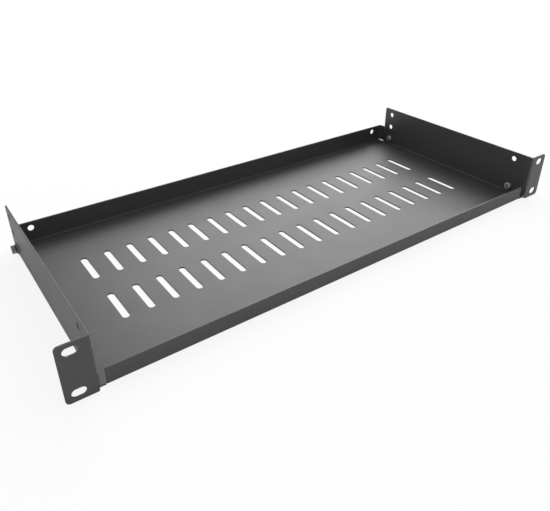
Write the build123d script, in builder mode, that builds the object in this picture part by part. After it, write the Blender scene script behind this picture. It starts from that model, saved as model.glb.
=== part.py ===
from math import pi
import os

from build123d import *

# Vented rack shelf: one folded steel tray with a rack ear at each end, and four
# small screws whose flange nuts sit on the outside of the side walls.
# Millimetres. X runs across the rack, Y from the ears (front, -Y) to the back
# wall (+Y) and Z up. The origin is under the middle of the shelf, on the
# underside of the floor.

# Sheet and folds
sheet = 1.2
bend_inner = 0.6
bend_outer = bend_inner + sheet
end_bend_inner = 2.0
end_bend_outer = end_bend_inner + sheet
neutral_share = 0.4
fold_overlap = 5.0
vertex_reach = 0.01

# Overall sizes
ear_span = 482.6
ear_reach = 19.8
shelf_height = 44.0
shelf_depth = 205.0
body_width = ear_span - 2 * ear_reach
inner_width = body_width - 2 * sheet
front_y = -shelf_depth / 2
rear_y = shelf_depth / 2

# Side walls
rear_opening = 7.0
wall_front_y = front_y + bend_outer
wall_rear_y = rear_y - rear_opening
wall_rear_corner = 2.0

# Front lip
lip_end_gap = 5.1
lip_setback = 2.2
lip_half = inner_width / 2 - lip_end_gap
lip_front_y = front_y + lip_setback
lip_height = 13.5
lip_end_relief = 0.5
corner_relief_reach = 1.0
corner_relief_height = 2.2

# Rack ears: the lower part of each ear is cut free a little behind the fold, so
# it stays flat and keeps the sheet that the fold takes up higher on
ear_half = ear_span / 2
ear_flat_start = inner_width / 2 + bend_outer
fold_length = pi / 2 * (bend_inner + neutral_share * sheet)
cut_behind_fold = 0.45
free_tab_inner = ear_flat_start - fold_length - cut_behind_fold
cut_above_lip = 1.0
free_tab_height = lip_height + cut_above_lip
free_tab_notch = 0.75
free_tab_notch_height = 3.2
free_tab_corner = 1.0
ear_corner = 3.0

# Ear slots, on the rack's hole spacing
ear_slot_inset = 8.75
rack_hole_span = ear_span - 2 * ear_slot_inset
rack_hole_rise = 31.75
ear_slot_length = 9.5
ear_slot_width = 6.2

# Back wall, with an end tab folded forward inside each side wall
back_height = 20.0
tab_gap = 0.15
tab_outer_half = inner_width / 2 - tab_gap
tab_length = 10.0
tab_front_y = rear_y - tab_length
tab_bottom_gap = 0.2
tab_bottom = bend_outer + tab_bottom_gap
back_floor_half = inner_width / 2 - bend_inner
end_slit = 0.4
end_slit_past_fold = 1.0
end_slit_inner = tab_outer_half - end_bend_outer - end_slit_past_fold
back_hole_inset = 15.3
back_hole_drop = 6.0
back_hole_span = inner_width - 2 * back_hole_inset
back_hole_height = back_height - back_hole_drop
back_hole_width = 5.5

# Floor slots
slot_count = 19
slot_pitch = 20.0
slot_rows = 2
slot_row_gap = 60.0
front_row_setback = 73.0
slot_rows_middle_y = front_y + front_row_setback + slot_row_gap / 2
slot_length = 35.0
slot_width = 5.5

# Side wall holes: three at the back, two at the front
wall_hole_width = 5.2
wall_hole_rise = 15.0
wall_hole_middle = shelf_height / 2
rear_hole_inset = 10.0
front_hole_inset = 20.0
rear_hole_y = wall_rear_y - rear_hole_inset
front_hole_y = front_y + front_hole_inset
fastener_height = wall_hole_middle - wall_hole_rise

# Screws and flange nuts
thread_width = 4.0
thread_gap = 0.05
screw_length = 6.0
screw_tip = 0.4
head_width = 7.0
head_height = 2.2
head_shoulder = 0.9
recess_span = 3.8
recess_arm = 0.9
recess_depth = 1.2
recess_taper = 8.0
nut_flats = 7.0
nut_height = 4.65
nut_flange_width = 10.0
nut_flange_rim = 0.6
nut_flange_rise = 1.5
nut_corner_radius = nut_flats / 3 ** 0.5


def near(value):
    """The narrow band of positions around one value."""
    return value - vertex_reach, value + vertex_reach


with BuildPart() as shelf:
    # Floor and side walls, one U-shaped section from the ears to the rear edge
    with BuildSketch(Plane.XZ.offset(-wall_rear_y)) as tray_section:
        Rectangle(body_width, shelf_height, align=(Align.CENTER, Align.MIN))
        fillet(tray_section.vertices().group_by(Axis.Y)[0], bend_outer)
        with Locations((0, sheet)):
            Rectangle(
                inner_width, shelf_height, align=(Align.CENTER, Align.MIN), mode=Mode.SUBTRACT
            )
        fillet(tray_section.vertices().filter_by_position(Axis.Y, *near(sheet)), bend_inner)
    extrude(amount=wall_rear_y - wall_front_y)
    wall_corners = shelf.edges().filter_by(Axis.X).filter_by(
        lambda edge: edge.center().Z > shelf_height - vertex_reach
        and edge.center().Y > wall_rear_y - vertex_reach
    )
    fillet(wall_corners, wall_rear_corner)

    # The floor stops at the lip's fold, with a narrow relief at each end of the lip
    with BuildSketch(Plane.XY):
        with Locations((0, wall_front_y)):
            Rectangle(
                2 * (lip_half + lip_end_relief),
                lip_front_y + bend_outer - wall_front_y,
                align=(Align.CENTER, Align.MIN),
            )
    extrude(amount=sheet, mode=Mode.SUBTRACT)

    # Beside the lip the floor is cut back a little between the walls
    with BuildSketch(Plane.XY):
        with Locations((0, wall_front_y)):
            Rectangle(inner_width, corner_relief_reach, align=(Align.CENTER, Align.MIN))
    extrude(amount=corner_relief_height, mode=Mode.SUBTRACT)

    # Front lip, folded up from the floor
    with BuildSketch(Plane.YZ.offset(-lip_half)) as lip_section:
        with Locations((lip_front_y, 0)):
            Rectangle(bend_outer + fold_overlap, lip_height, align=(Align.MIN, Align.MIN))
        fillet(lip_section.vertices().group_by(Axis.Y)[0].sort_by(Axis.X)[0], bend_outer)
        with Locations((lip_front_y + sheet, sheet)):
            Rectangle(
                bend_outer + fold_overlap,
                lip_height,
                align=(Align.MIN, Align.MIN),
                mode=Mode.SUBTRACT,
            )
        lip_corner = lip_section.vertices().filter_by_position(Axis.Y, *near(sheet))
        fillet(lip_corner.sort_by(Axis.X)[0], bend_inner)
    extrude(amount=2 * lip_half)

    # Back wall's fold, with the floor running on to it behind the side walls
    with BuildSketch(Plane.YZ.offset(-back_floor_half)) as back_section:
        with Locations((rear_y, 0)):
            Rectangle(
                rear_y - wall_rear_y + fold_overlap, tab_bottom, align=(Align.MAX, Align.MIN)
            )
        fillet(back_section.vertices().group_by(Axis.Y)[0].sort_by(Axis.X)[-1], bend_outer)
        with Locations((rear_y - sheet, sheet)):
            Rectangle(
                rear_y - wall_rear_y + fold_overlap,
                tab_bottom,
                align=(Align.MAX, Align.MIN),
                mode=Mode.SUBTRACT,
            )
        back_corner = back_section.vertices().filter_by_position(Axis.Y, *near(sheet))
        fillet(back_corner.sort_by(Axis.X)[-1], bend_inner)
    extrude(amount=2 * back_floor_half)
    with BuildSketch(Plane.XZ.offset(-rear_y)) as end_slits:
        with Locations((end_slit_inner, tab_bottom)):
            Rectangle(
                back_floor_half - end_slit_inner, end_slit, align=(Align.MIN, Align.MAX)
            )
        mirror(about=Plane.YZ)
    extrude(amount=sheet, mode=Mode.SUBTRACT)

    # Back wall and its two end tabs
    with BuildSketch(Plane.XY.offset(tab_bottom)) as back_plan:
        with Locations((0, rear_y)):
            Rectangle(2 * tab_outer_half, rear_y - tab_front_y, align=(Align.CENTER, Align.MAX))
        fillet(back_plan.vertices().group_by(Axis.Y)[-1], end_bend_outer)
        with Locations((0, rear_y - sheet)):
            Rectangle(
                2 * (tab_outer_half - sheet),
                rear_y - tab_front_y,
                align=(Align.CENTER, Align.MAX),
                mode=Mode.SUBTRACT,
            )
        back_inner = back_plan.vertices().filter_by_position(Axis.Y, *near(rear_y - sheet))
        fillet(back_inner, end_bend_inner)
    extrude(amount=back_height - tab_bottom)

    # Ears, folded outwards from the front of each side wall
    with BuildSketch(Plane.XY.offset(free_tab_height)) as ear_plan:
        with Locations((inner_width / 2, front_y)):
            Rectangle(
                ear_half - inner_width / 2,
                bend_outer + fold_overlap,
                align=(Align.MIN, Align.MIN),
            )
        fillet(ear_plan.vertices().group_by(Axis.Y)[0].sort_by(Axis.X)[0], bend_outer)
        with Locations((body_width / 2, front_y + sheet)):
            Rectangle(
                ear_half - body_width / 2,
                bend_outer + fold_overlap,
                align=(Align.MIN, Align.MIN),
                mode=Mode.SUBTRACT,
            )
        ear_inner = ear_plan.vertices().filter_by_position(Axis.Y, *near(front_y + sheet))
        fillet(ear_inner.sort_by(Axis.X)[0], bend_inner)
        mirror(about=Plane.YZ)
    extrude(amount=shelf_height - free_tab_height)

    # Lower part of each ear, flat and free of the wall
    with BuildSketch(Plane.XZ.offset(-front_y - sheet)) as free_tabs:
        with Locations((free_tab_inner, 0)):
            Rectangle(ear_half - free_tab_inner, free_tab_height, align=(Align.MIN, Align.MIN))
            Rectangle(
                free_tab_notch,
                free_tab_notch_height,
                align=(Align.MIN, Align.MIN),
                mode=Mode.SUBTRACT,
            )
        fillet(free_tabs.vertices().group_by(Axis.Y)[0].sort_by(Axis.X)[0], free_tab_corner)
        mirror(about=Plane.YZ)
    extrude(amount=sheet)

    # Rounded outer corners of the ears
    ear_ends = shelf.edges().filter_by(Axis.Y).filter_by(
        lambda edge: abs(abs(edge.center().X) - ear_half) < vertex_reach
    )
    fillet(ear_ends, ear_corner)

    # Ear slots
    with BuildSketch(Plane.XZ.offset(-front_y)):
        with Locations((0, shelf_height / 2)):
            with GridLocations(rack_hole_span, rack_hole_rise, 2, 2):
                SlotOverall(ear_slot_length, ear_slot_width)
    extrude(amount=-sheet, mode=Mode.SUBTRACT)

    # Floor slots
    with BuildSketch(Plane.XY):
        with Locations((0, slot_rows_middle_y)):
            with GridLocations(slot_pitch, slot_row_gap, slot_count, slot_rows):
                SlotOverall(slot_length, slot_width, rotation=90)
    extrude(amount=sheet, mode=Mode.SUBTRACT)

    # Side wall holes, opposite each other in the two walls
    with BuildSketch(Plane.YZ):
        with Locations((rear_hole_y, wall_hole_middle)):
            with GridLocations(0, wall_hole_rise, 1, 3):
                Circle(wall_hole_width / 2)
        with Locations((front_hole_y, wall_hole_middle)):
            with GridLocations(0, 2 * wall_hole_rise, 1, 2):
                Circle(wall_hole_width / 2)
    extrude(amount=body_width / 2, both=True, mode=Mode.SUBTRACT)

    # Back wall holes
    with BuildSketch(Plane.XZ.offset(-rear_y)):
        with Locations((0, back_hole_height)):
            with GridLocations(back_hole_span, 0, 2, 1):
                Circle(back_hole_width / 2)
    extrude(amount=sheet, mode=Mode.SUBTRACT)


# Screws and nuts sit in the lowest hole at each end of both side walls
fastener_places = [
    (side, hole_y) for side in (-1, 1) for hole_y in (front_hole_y, rear_hole_y)
]

# Low pan-head screws with a cross recess, their heads inside the tray
with BuildPart() as screws:
    for side, hole_y in fastener_places:
        seat = Plane(
            origin=(side * inner_width / 2, hole_y, fastener_height),
            x_dir=(0, 1, 0),
            z_dir=(-side, 0, 0),
        )
        axial = Plane(origin=seat.origin, x_dir=seat.x_dir, z_dir=-seat.y_dir)
        with BuildSketch(axial):
            with BuildLine():
                Polyline(
                    (0, -screw_length),
                    (thread_width / 2 - screw_tip, -screw_length),
                    (thread_width / 2, -screw_length + screw_tip),
                    (thread_width / 2, 0),
                    (head_width / 2, 0),
                    (head_width / 2, head_height - head_shoulder),
                    (head_width / 2 - head_shoulder, head_height),
                    (0, head_height),
                    close=True,
                )
            make_face()
        revolve(axis=Axis(seat.origin, seat.z_dir))
        with BuildSketch(seat.offset(head_height)):
            Rectangle(recess_span, recess_arm)
            Rectangle(recess_arm, recess_span)
        extrude(amount=-recess_depth, taper=recess_taper, mode=Mode.SUBTRACT)

# Hexagon flange nuts, their flanges against the outside of the side walls
with BuildPart() as flange_nuts:
    for side, hole_y in fastener_places:
        seat = Plane(
            origin=(side * body_width / 2, hole_y, fastener_height),
            x_dir=(0, 1, 0),
            z_dir=(side, 0, 0),
        )
        axial = Plane(origin=seat.origin, x_dir=seat.x_dir, z_dir=-seat.y_dir)
        with BuildSketch(seat):
            RegularPolygon(nut_corner_radius, 6)
        extrude(amount=nut_height)
        with BuildSketch(axial):
            with BuildLine():
                Polyline(
                    (0, 0),
                    (nut_flange_width / 2, 0),
                    (nut_flange_width / 2, nut_flange_rim),
                    (nut_flats / 2, nut_flange_rise),
                    (0, nut_flange_rise),
                    close=True,
                )
            make_face()
        revolve(axis=Axis(seat.origin, seat.z_dir))
        with BuildSketch(seat):
            Circle(thread_width / 2 + thread_gap)
        extrude(amount=nut_height, mode=Mode.SUBTRACT)

os.makedirs("parts", exist_ok=True)

shelf.part.label = "shelf"
export_step(shelf.part, "parts/shelf.step")

screws.part.label = "screws"
export_step(screws.part, "parts/screws.step")

flange_nuts.part.label = "flange_nuts"
export_step(flange_nuts.part, "parts/flange_nuts.step")
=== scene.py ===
from math import cos, pi, radians, sin

import bmesh
import bpy
from mathutils import Matrix, Vector


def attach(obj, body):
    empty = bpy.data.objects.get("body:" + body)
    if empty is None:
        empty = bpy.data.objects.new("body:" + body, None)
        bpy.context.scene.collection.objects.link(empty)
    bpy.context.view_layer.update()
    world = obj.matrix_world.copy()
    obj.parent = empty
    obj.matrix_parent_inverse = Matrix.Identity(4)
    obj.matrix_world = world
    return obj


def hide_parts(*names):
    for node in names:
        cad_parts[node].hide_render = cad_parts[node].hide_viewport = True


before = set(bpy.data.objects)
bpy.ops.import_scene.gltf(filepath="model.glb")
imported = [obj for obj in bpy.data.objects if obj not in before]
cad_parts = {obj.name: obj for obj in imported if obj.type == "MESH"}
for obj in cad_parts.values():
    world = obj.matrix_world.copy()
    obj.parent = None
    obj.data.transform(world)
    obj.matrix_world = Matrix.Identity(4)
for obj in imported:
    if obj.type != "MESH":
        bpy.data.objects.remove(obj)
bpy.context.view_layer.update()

scene = bpy.context.scene
scene.view_settings.view_transform = "Standard"

# The shelf: one sheet of steel, punched and folded, with ears, a front lip and a
# low back wall. It is coated all over with black powder that cures to a satin
# skin with a fine grain. A lighter grey is painted along the sheet's edges as a
# highlight.
powder_black = (0.027, 0.027, 0.028, 1.0)
powder_grey = (0.042, 0.042, 0.043, 1.0)
# Painted highlight: a lighter grey along the edges of the sheet.
powder_rim_highlight_grey = (0.13, 0.13, 0.132, 1.0)
powder_rim_bend = 0.75
powder_edge = 0.0006
powder_grain_size = 0.0009
powder_grain_depth = 0.35
powder_flow_size = 0.03
powder_flow_detail = 2.0
powder_smooth = 0.44
powder_rough = 0.52
powder_ior = 1.6

grain_detail = 3.0
grain_roughness = 0.6
grain_height = 0.0001
dark_tone_end = 0.35
light_tone_start = 0.65


def node_of(tree, kind, **settings):
    """A shader node of this kind, with its settings and plain input values."""
    made = tree.nodes.new(kind)
    for name, value in settings.items():
        if name in made.inputs:
            made.inputs[name].default_value = value
        else:
            setattr(made, name, value)
    return made


def grain_group():
    """Grain of a coat or a plating as a mask and a normal, and a mask of its rims,
    along which a highlight or a shade is painted.

    A rim is where the normal, softened over the rim's width, leaves the face's own.
    Rim Bend is the cosine between the two at which the rim is complete.
    """
    group = bpy.data.node_groups.new("grain_and_painted_rims", "ShaderNodeTree")
    face = group.interface
    for name in ("Size", "Depth", "Edge", "Rim Width", "Rim Bend"):
        face.new_socket(name, in_out="INPUT", socket_type="NodeSocketFloat")
    for name in ("Mask", "Rim"):
        face.new_socket(name, in_out="OUTPUT", socket_type="NodeSocketFloat")
    face.new_socket("Normal", in_out="OUTPUT", socket_type="NodeSocketVector")
    start = group.nodes.new("NodeGroupInput")
    end = group.nodes.new("NodeGroupOutput")
    link = group.links.new

    place = group.nodes.new("ShaderNodeTexCoord")
    per_metre = node_of(group, "ShaderNodeMath", operation="DIVIDE")
    per_metre.inputs[0].default_value = 1.0
    grain = node_of(group, "ShaderNodeTexNoise", Detail=grain_detail, Roughness=grain_roughness)
    link(start.outputs["Size"], per_metre.inputs[1])
    link(per_metre.outputs[0], grain.inputs["Scale"])
    link(place.outputs["Object"], grain.inputs["Vector"])
    link(grain.outputs["Fac"], end.inputs["Mask"])

    soft_edge = group.nodes.new("ShaderNodeBevel")
    bump = node_of(group, "ShaderNodeBump", Distance=grain_height)
    link(start.outputs["Edge"], soft_edge.inputs["Radius"])
    link(soft_edge.outputs["Normal"], bump.inputs["Normal"])
    link(grain.outputs["Fac"], bump.inputs["Height"])
    link(start.outputs["Depth"], bump.inputs["Strength"])
    link(bump.outputs["Normal"], end.inputs["Normal"])

    skin = group.nodes.new("ShaderNodeNewGeometry")
    near_edge = group.nodes.new("ShaderNodeBevel")
    bend = node_of(group, "ShaderNodeVectorMath", operation="DOT_PRODUCT")
    rim = group.nodes.new("ShaderNodeMapRange")
    rim.inputs["From Min"].default_value = 1.0
    link(start.outputs["Rim Width"], near_edge.inputs["Radius"])
    link(near_edge.outputs["Normal"], bend.inputs[0])
    link(skin.outputs["True Normal"], bend.inputs[1])
    link(bend.outputs["Value"], rim.inputs["Value"])
    link(start.outputs["Rim Bend"], rim.inputs["From Max"])
    link(rim.outputs["Result"], end.inputs["Rim"])
    return group


grain_and_painted_rims = grain_group()


def tones_of(tree, mask, dark, light):
    """A colour ramp from the dark tone to the light one, driven by a mask."""
    ramp = tree.nodes.new("ShaderNodeValToRGB")
    first, last = ramp.color_ramp.elements
    first.position = dark_tone_end
    first.color = dark
    last.position = light_tone_start
    last.color = light
    tree.links.new(mask, ramp.inputs["Fac"])
    return ramp.outputs["Color"]


def range_of(tree, mask, low, high):
    """A mask of 0 to 1 stretched to run from low to high."""
    stretch = tree.nodes.new("ShaderNodeMapRange")
    stretch.inputs["To Min"].default_value = low
    stretch.inputs["To Max"].default_value = high
    tree.links.new(mask, stretch.inputs["Value"])
    return stretch.outputs["Result"]


def material_with_grain(name, size, depth, edge, tones, rim_width, rim_bend, rim_highlight_or_shade):
    """A new material that varies between two tones, with a third painted along its rims as a
    highlight or as shade.
    """
    material = bpy.data.materials.new(name)
    material.use_nodes = True
    tree = material.node_tree
    shader = tree.nodes["Principled BSDF"]
    grain = node_of(tree, "ShaderNodeGroup", name="grain", node_tree=grain_and_painted_rims)
    grain.inputs["Size"].default_value = size
    grain.inputs["Depth"].default_value = depth
    grain.inputs["Edge"].default_value = edge
    grain.inputs["Rim Width"].default_value = rim_width
    grain.inputs["Rim Bend"].default_value = rim_bend
    blend = node_of(tree, "ShaderNodeMix", data_type="RGBA")
    blend_from, blend_to = (
        place for place in blend.inputs if place.name in ("A", "B") and place.enabled
    )
    blended = next(place for place in blend.outputs if place.enabled)
    blend_to.default_value = rim_highlight_or_shade
    tree.links.new(grain.outputs["Rim"], blend.inputs["Factor"])
    tree.links.new(tones_of(tree, grain.outputs["Mask"], *tones), blend_from)
    tree.links.new(blended, shader.inputs["Base Color"])
    tree.links.new(grain.outputs["Normal"], shader.inputs["Normal"])
    return material


powder_coat = material_with_grain(
    "powder_coat",
    size=powder_grain_size,
    depth=powder_grain_depth,
    edge=powder_edge,
    tones=(powder_black, powder_grey),
    rim_width=powder_edge,
    rim_bend=powder_rim_bend,
    rim_highlight_or_shade=powder_rim_highlight_grey,
)
powder_tree = powder_coat.node_tree
powder_shader = powder_tree.nodes["Principled BSDF"]
powder_shader.inputs["IOR"].default_value = powder_ior
powder_place = powder_tree.nodes.new("ShaderNodeTexCoord")
powder_flow = node_of(
    powder_tree, "ShaderNodeTexNoise", Scale=1.0 / powder_flow_size, Detail=powder_flow_detail
)
powder_tree.links.new(powder_place.outputs["Object"], powder_flow.inputs["Vector"])
powder_tree.links.new(
    range_of(powder_tree, powder_flow.outputs["Fac"], powder_smooth, powder_rough),
    powder_shader.inputs["Roughness"],
)

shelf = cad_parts["shelf"]
for material_place in shelf.material_slots:
    material_place.material = powder_coat

# Screws: four M4 pan-head machine screws of cold-formed steel, zinc plated, with a
# rolled thread. Each goes out through the lowest hole at one end of a side wall,
# with its head inside the tray.
millimetre = 0.001
circle_steps = 48
merge_reach = 0.0001
ring_reach = 0.01
sharp_angle = radians(35)
tray_half_width = 220.3
fastener_height = 7.0
fastener_depths = (-82.5, 85.5)
screw_length = 6.0
screw_tip = 0.35
thread_width = 4.0
thread_depth = 0.43
thread_pitch = 0.7
thread_crest = 0.35
thread_foot = 0.66
thread_overlap = 0.01
thread_steps = 24
thread_turns = 7
head_width = 7.0
head_height = 2.2
head_edge = 0.9
head_edge_steps = 5
head_flat_width = 4.6
recess_span = 3.8
recess_arm = 0.9
recess_depth = 1.2
recess_narrowing = 0.72

zinc_grain_size = 0.0006
zinc_grain_depth = 0.15
zinc_edge = 0.0001
screw_zinc_dark = (0.36, 0.365, 0.39, 1.0)
screw_zinc_light = (0.46, 0.465, 0.50, 1.0)
# Painted highlight: a bright grey along the screws' edges.
screw_rim_highlight = (0.75, 0.755, 0.78, 1.0)
screw_rim_width = 0.0008
screw_rim_bend = 0.75
screw_smooth = 0.50
screw_rough = 0.62


def zinc_plating(name, tones, rim_width, rim_bend, rim_highlight_or_shade, smooth, rough):
    """Zinc plating that varies between two tones and from smooth to rough."""
    plating = material_with_grain(
        name,
        size=zinc_grain_size,
        depth=zinc_grain_depth,
        edge=zinc_edge,
        tones=tones,
        rim_width=rim_width,
        rim_bend=rim_bend,
        rim_highlight_or_shade=rim_highlight_or_shade,
    )
    tree = plating.node_tree
    mask = tree.nodes["grain"].outputs["Mask"]
    shader = tree.nodes["Principled BSDF"]
    shader.inputs["Metallic"].default_value = 1.0
    tree.links.new(range_of(tree, mask, smooth, rough), shader.inputs["Roughness"])
    return plating


screw_zinc = zinc_plating(
    "screw_zinc",
    tones=(screw_zinc_dark, screw_zinc_light),
    rim_width=screw_rim_width,
    rim_bend=screw_rim_bend,
    rim_highlight_or_shade=screw_rim_highlight,
    smooth=screw_smooth,
    rough=screw_rough,
)


def turned(shape, corners, closed=False):
    """Spins a line once round the axis. Its corners are (distance from axis, height)."""
    dots = [shape.verts.new((away, 0.0, along)) for away, along in corners]
    ends = dots[1:] + dots[:1] if closed else dots[1:]
    line = [shape.edges.new(pair) for pair in zip(dots, ends)]
    bmesh.ops.spin(
        shape,
        geom=dots + line,
        cent=(0.0, 0.0, 0.0),
        axis=(0.0, 0.0, 1.0),
        angle=2 * pi,
        steps=circle_steps,
        use_merge=True,
    )
    bmesh.ops.remove_doubles(shape, verts=shape.verts, dist=merge_reach)


def ring(shape, away, along):
    """The edges of the circle at this distance from the axis and this height."""
    return [
        edge
        for edge in shape.edges
        if all(
            abs(dot.co.z - along) < ring_reach and abs(dot.co.xy.length - away) < ring_reach
            for dot in edge.verts
        )
    ]


def rounded(shape, edges, size, steps):
    """Rounds sharp edges."""
    bmesh.ops.bevel(
        shape,
        geom=edges,
        offset=size,
        offset_type="OFFSET",
        segments=steps,
        profile=0.5,
        affect="EDGES",
        material=-1,
    )


def dots_of(geometry):
    """The vertices among what an operator gave back."""
    return [item for item in geometry if isinstance(item, bmesh.types.BMVert)]


def within(items, dots):
    """The edges or faces whose corners are all among these vertices."""
    return [item for item in items if all(dot in dots for dot in item.verts)]


def fasteners(name, shapes, half_width, facing, plating):
    """One piece of the shapes, set at each of the four places.

    The shapes' axis points outwards where facing is 1, and inwards where it is -1.
    """
    together = bmesh.new()
    single = bpy.data.meshes.new(name + "_single")
    for side in (-1, 1):
        for depth in fastener_depths:
            outwards = side * facing
            seat = Matrix(
                (
                    (0.0, 0.0, outwards, side * half_width),
                    (1.0, 0.0, 0.0, depth),
                    (0.0, outwards, 0.0, fastener_height),
                    (0.0, 0.0, 0.0, 1.0),
                )
            )
            for shape in shapes:
                placed = shape.copy()
                bmesh.ops.transform(placed, matrix=seat, verts=placed.verts)
                bmesh.ops.scale(placed, vec=(millimetre,) * 3, verts=placed.verts)
                placed.to_mesh(single)
                placed.free()
                together.from_mesh(single)
    mesh = bpy.data.meshes.new(name)
    together.to_mesh(mesh)
    together.free()
    bpy.data.meshes.remove(single)
    for shape in shapes:
        shape.free()
    mesh.shade_smooth()
    mesh.set_sharp_from_angle(angle=sharp_angle)
    mesh.materials.append(plating)
    piece = bpy.data.objects.new(name, mesh)
    scene.collection.objects.link(piece)
    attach(piece, "root")
    return piece


screw = bmesh.new()
core_radius = thread_width / 2 - thread_depth
turned(
    screw,
    [
        (0.0, -screw_length),
        (core_radius - screw_tip / 2, -screw_length),
        (core_radius, screw_tip - screw_length),
        (core_radius, 0.0),
        (head_width / 2, 0.0),
        (head_width / 2, head_height),
        (head_flat_width / 2, head_height),
    ],
)
rounded(screw, ring(screw, head_width / 2, head_height), head_edge, head_edge_steps)

recess_dots = bmesh.ops.create_grid(
    screw, x_segments=3, y_segments=3, size=recess_span / 2
)["verts"]
recess_middle = recess_span / 4
for dot in recess_dots:
    dot.co.z = head_height
    for axis in (0, 1):
        if abs(dot.co[axis]) < recess_middle:
            dot.co[axis] = recess_arm / 2 if dot.co[axis] > 0 else -recess_arm / 2
recess_faces = within(screw.faces, recess_dots)
between_arms = [
    face
    for face in recess_faces
    if all(abs(place) > recess_arm / 2 for place in face.calc_center_median().xy)
]
bmesh.ops.delete(screw, geom=between_arms, context="FACES")
recess_faces = [face for face in recess_faces if face.is_valid]
recess_outline = [edge for face in recess_faces for edge in face.edges if edge.is_boundary]
bmesh.ops.triangle_fill(
    screw,
    use_beauty=True,
    edges=recess_outline + ring(screw, head_flat_width / 2, head_height),
    normal=(0.0, 0.0, 1.0),
)
sunk = dots_of(bmesh.ops.extrude_face_region(screw, geom=recess_faces)["geom"])
bmesh.ops.translate(screw, verts=sunk, vec=(0.0, 0.0, -recess_depth))
bmesh.ops.scale(screw, verts=sunk, vec=(recess_narrowing, recess_narrowing, 1.0))
bmesh.ops.delete(screw, geom=recess_faces, context="FACES")
bmesh.ops.recalc_face_normals(screw, faces=screw.faces)

thread = bmesh.new()
thread_start = screw_tip - screw_length
thread_section = thread.faces.new(
    [
        thread.verts.new((core_radius - thread_overlap, 0.0, thread_start)),
        thread.verts.new((thread_width / 2, 0.0, thread_start + thread_crest)),
        thread.verts.new((core_radius - thread_overlap, 0.0, thread_start + thread_foot)),
    ]
)
bmesh.ops.spin(
    thread,
    geom=[thread_section],
    cent=(0.0, 0.0, 0.0),
    axis=(0.0, 0.0, 1.0),
    dvec=(0.0, 0.0, thread_pitch / thread_steps),
    angle=2 * pi * thread_turns,
    steps=thread_steps * thread_turns,
)
bmesh.ops.recalc_face_normals(thread, faces=thread.faces)
screws = fasteners("screws_detailed", [screw, thread], tray_half_width, -1, screw_zinc)
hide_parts("screws")

# Flange nuts: four M4 hexagon nuts with a broad flange, cold-formed and plated like
# the screws, but darker and smoother. They are tightened on the outside of the
# side walls.
body_half_width = 221.5
nut_flats = 7.0
nut_corner_radius = nut_flats / 3**0.5
nut_height = 4.65
nut_edge = 0.15
nut_edge_steps = 2
nut_end_width = 6.7
nut_end_angle = radians(30)
nut_flange_width = 10.0
nut_flange_rim = 0.6
nut_flange_rise = 1.5
nut_flange_edge = 0.2
nut_flange_edge_steps = 3
nut_bore = 2.05
nut_mouth = 2.35
nut_mouth_depth = 0.35
nut_bore_end = 0.7

nut_zinc_dark = (0.26, 0.263, 0.28, 1.0)
nut_zinc_light = (0.32, 0.323, 0.34, 1.0)
# Painted shade: near black along the nuts' edges and in the crease between hexagon and flange.
nut_rim_shade = (0.012, 0.012, 0.014, 1.0)
nut_rim_width = 0.0013
nut_rim_bend = 0.95
nut_smooth = 0.30
nut_rough = 0.44
nut_zinc = zinc_plating(
    "nut_zinc",
    tones=(nut_zinc_dark, nut_zinc_light),
    rim_width=nut_rim_width,
    rim_bend=nut_rim_bend,
    rim_highlight_or_shade=nut_rim_shade,
    smooth=nut_smooth,
    rough=nut_rough,
)

nut = bmesh.new()
hexagon = bmesh.ops.create_circle(nut, cap_ends=True, segments=6, radius=nut_corner_radius)["verts"]
bmesh.ops.translate(nut, verts=hexagon, vec=(0.0, 0.0, nut_flange_rim))
nut_top = dots_of(bmesh.ops.extrude_face_region(nut, geom=nut.faces[:])["geom"])
bmesh.ops.translate(nut, verts=nut_top, vec=(0.0, 0.0, nut_height - nut_flange_rim))
nut_corners = [
    edge for edge in nut.edges if abs(edge.verts[0].co.z - edge.verts[1].co.z) > nut_height / 2
]
rounded(nut, nut_corners, nut_edge, nut_edge_steps)
for step in range(circle_steps):
    turn = Matrix.Rotation(2 * pi * step / circle_steps, 3, "Z")
    bmesh.ops.bisect_plane(
        nut,
        geom=nut.verts[:] + nut.edges[:] + nut.faces[:],
        dist=merge_reach,
        plane_co=turn @ Vector((nut_end_width / 2, 0.0, nut_height)),
        plane_no=turn @ Vector((sin(nut_end_angle), 0.0, cos(nut_end_angle))),
        clear_outer=True,
    )
    cut_edges = [edge for edge in nut.edges if edge.is_boundary]
    if cut_edges:
        bmesh.ops.edgeloop_fill(nut, edges=cut_edges)
nut_end = max(nut.faces, key=lambda face: face.calc_center_median().z)
nut_end_edges = nut_end.edges[:]
bmesh.ops.delete(nut, geom=[nut_end], context="FACES_ONLY")
nut_hole = bmesh.ops.create_circle(nut, segments=circle_steps, radius=nut_mouth)["verts"]
bmesh.ops.translate(nut, verts=nut_hole, vec=(0.0, 0.0, nut_height))
hole_edges = within(nut.edges, nut_hole)
bmesh.ops.triangle_fill(
    nut, use_beauty=True, edges=nut_end_edges + hole_edges, normal=(0.0, 0.0, 1.0)
)
for narrowing, bottom in (
    (nut_bore / nut_mouth, nut_height - nut_mouth_depth),
    (1.0, nut_bore_end),
):
    hole_dots = dots_of(bmesh.ops.extrude_edge_only(nut, edges=hole_edges)["geom"])
    hole_edges = within(nut.edges, hole_dots)
    bmesh.ops.scale(nut, verts=hole_dots, vec=(narrowing, narrowing, 1.0))
    for dot in hole_dots:
        dot.co.z = bottom
bmesh.ops.edgeloop_fill(nut, edges=hole_edges)
bmesh.ops.recalc_face_normals(nut, faces=nut.faces)

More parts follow.
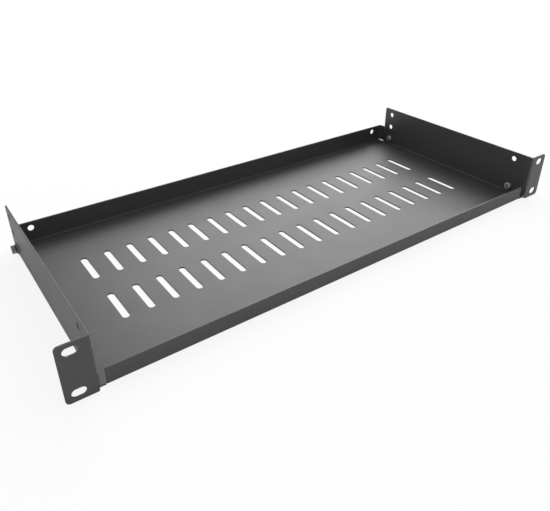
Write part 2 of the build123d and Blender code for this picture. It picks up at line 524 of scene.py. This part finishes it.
flange = bmesh.new()
turned(
    flange,
    [
        (nut_bore, 0.0),
        (nut_flange_width / 2, 0.0),
        (nut_flange_width / 2, nut_flange_rim),
        (nut_flats / 2, nut_flange_rise),
        (nut_bore, nut_flange_rise),
    ],
    closed=True,
)
flange_edge = ring(flange, nut_flange_width / 2, nut_flange_rim)
rounded(flange, flange_edge, nut_flange_edge, nut_flange_edge_steps)
bmesh.ops.recalc_face_normals(flange, faces=flange.faces)
nuts = fasteners("flange_nuts_detailed", [nut, flange], body_half_width, 1, nut_zinc)
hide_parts("flange_nuts")

# The floor: a large plain white sheet under the shelf. The camera sees it nearly
# white, reflections see it less bright, and it keeps the shelf's shadow.
floor_size = 12.0
floor_pale = (0.8, 0.8, 0.8, 1.0)
floor_glow = 0.86
floor_glow_in_gloss = 0.5
white = (1.0, 1.0, 1.0, 1.0)
floor_mesh = bpy.data.meshes.new("floor")
floor_shape = bmesh.new()
bmesh.ops.create_grid(floor_shape, x_segments=1, y_segments=1, size=floor_size / 2)
floor_shape.to_mesh(floor_mesh)
floor_shape.free()
floor = bpy.data.objects.new("floor", floor_mesh)
scene.collection.objects.link(floor)

floor_white = bpy.data.materials.new("floor_white")
floor_white.use_nodes = True
floor_mesh.materials.append(floor_white)
floor_tree = floor_white.node_tree
floor_out = floor_tree.nodes["Material Output"]
floor_paint = floor_tree.nodes["Principled BSDF"]
floor_paint.inputs["Base Color"].default_value = floor_pale
floor_paint.inputs["Roughness"].default_value = 1.0
floor_paint.inputs["Specular IOR Level"].default_value = 0.0
floor_light = node_of(floor_tree, "ShaderNodeEmission", Color=white, Strength=1.0)
ray = floor_tree.nodes.new("ShaderNodeLightPath")
seen = node_of(floor_tree, "ShaderNodeMath", operation="MAXIMUM")
seen_share = node_of(floor_tree, "ShaderNodeMath", operation="MULTIPLY")
seen_share.inputs[1].default_value = floor_glow
gloss_share = node_of(floor_tree, "ShaderNodeMath", operation="MULTIPLY")
gloss_share.inputs[1].default_value = floor_glow_in_gloss
floor_share = node_of(floor_tree, "ShaderNodeMath", operation="MAXIMUM")
floor_mix = floor_tree.nodes.new("ShaderNodeMixShader")
floor_link = floor_tree.links.new
floor_link(ray.outputs["Is Camera Ray"], seen.inputs[0])
floor_link(ray.outputs["Is Transmission Ray"], seen.inputs[1])
floor_link(seen.outputs[0], seen_share.inputs[0])
floor_link(ray.outputs["Is Glossy Ray"], gloss_share.inputs[0])
floor_link(seen_share.outputs[0], floor_share.inputs[0])
floor_link(gloss_share.outputs[0], floor_share.inputs[1])
floor_link(floor_share.outputs[0], floor_mix.inputs["Fac"])
floor_link(floor_paint.outputs["BSDF"], floor_mix.inputs[1])
floor_link(floor_light.outputs["Emission"], floor_mix.inputs[2])
floor_link(floor_mix.outputs["Shader"], floor_out.inputs["Surface"])

# Light: a plain white room, and one large softbox above, behind and to the right of
# the shelf, whose soft reflection lies across the tray's floor.
room_glow = 0.78
room_glow_seen = 1.0
softbox_wide = 3.4
softbox_high = 2.2
softbox_glow = 3.3
softbox_away = 2.6
softbox_azimuth = radians(50)
softbox_rise = radians(33)

room = bpy.data.worlds.new("room")
scene.world = room
room.use_nodes = True
room_tree = room.node_tree
room_background = room_tree.nodes["Background"]
room_background.inputs["Color"].default_value = white
room_ray = room_tree.nodes.new("ShaderNodeLightPath")
room_tree.links.new(
    range_of(room_tree, room_ray.outputs["Is Camera Ray"], room_glow, room_glow_seen),
    room_background.inputs["Strength"],
)

softbox_data = bpy.data.lights.new("softbox", "AREA")
softbox_data.shape = "RECTANGLE"
softbox_data.size = softbox_wide
softbox_data.size_y = softbox_high
softbox_data.energy = softbox_glow * pi * softbox_wide * softbox_high
softbox = bpy.data.objects.new("softbox", softbox_data)
scene.collection.objects.link(softbox)
softbox_way = Vector(
    (
        sin(softbox_azimuth) * cos(softbox_rise),
        cos(softbox_azimuth) * cos(softbox_rise),
        sin(softbox_rise),
    )
)
softbox.location = softbox_way * softbox_away
softbox.rotation_euler = softbox_way.to_track_quat("Z", "Y").to_euler()

# Camera: above and to the left of the front edge, at the photograph's angle. Its
# axis meets the picture at the centre column and row, a little above the middle.
image_width = 550
image_height = 511
centre_column = 276.8
centre_row = 219.2
focal_pixels = 558.2
sensor_width = 36.0
camera_place = Vector((-0.27784, -0.36517, 0.25650))
camera_azimuth = radians(-35.809)
camera_elevation = radians(29.051)
camera_data = bpy.data.cameras.new("camera")
camera_data.sensor_width = sensor_width
camera_data.lens = focal_pixels * sensor_width / image_width
camera_data.shift_x = (image_width / 2 - centre_column) / image_width
camera_data.shift_y = (centre_row - image_height / 2) / image_width
camera = bpy.data.objects.new("camera", camera_data)
scene.collection.objects.link(camera)
camera.location = camera_place
camera.rotation_euler = (pi / 2 - camera_elevation, 0.0, camera_azimuth)
scene.camera = camera
